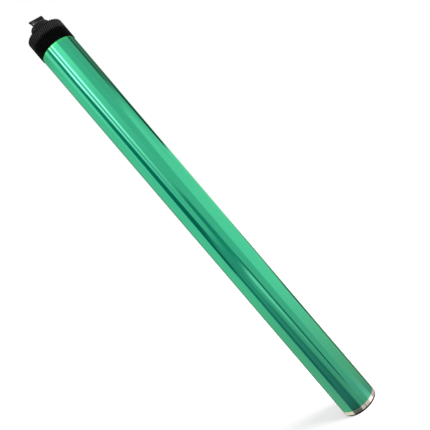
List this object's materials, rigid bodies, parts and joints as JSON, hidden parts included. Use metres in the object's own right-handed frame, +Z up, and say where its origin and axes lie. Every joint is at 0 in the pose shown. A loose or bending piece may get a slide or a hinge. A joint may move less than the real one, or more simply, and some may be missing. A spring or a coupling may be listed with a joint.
{
  "type": "printer drum unit",
  "caption": "Coated photoconductor drum with a helical drive gear and twisted three-cornered coupling at one end and a bearing flange at the other.",
  "frame": {"origin": "middle of the standing face, which is the end flange's collar, on the drum's axis", "axes": "+Z up the drum's axis from the end flange to the coupling; at the coupling's tip one corner points 10 degrees from +X towards -Y"},
  "size_m": [0.031, 0.031, 0.3883],
  "materials": {
    "drum_surface": "glossy green photoconductor coating on aluminium, bare metal for 3 mm at the foot",
    "gear_moulding": "black acetal, satin teeth and polished journal",
    "flange_moulding": "black, satin",
    "contact_sheet": "rolled spring sheet",
    "damper_filler": "dull mineral-filled resin",
    "damper_rubber": "matt"
  },
  "bodies": {
    "root": {"drum_tube": "drum_surface", "drive_gear": "gear_moulding", "end_flange": "flange_moulding", "ground_contact": "contact_sheet", "damper_weight": "damper_filler", "damper_ring_upper": "damper_rubber", "damper_ring_lower": "damper_rubber"}
  },
  "joints": []
}
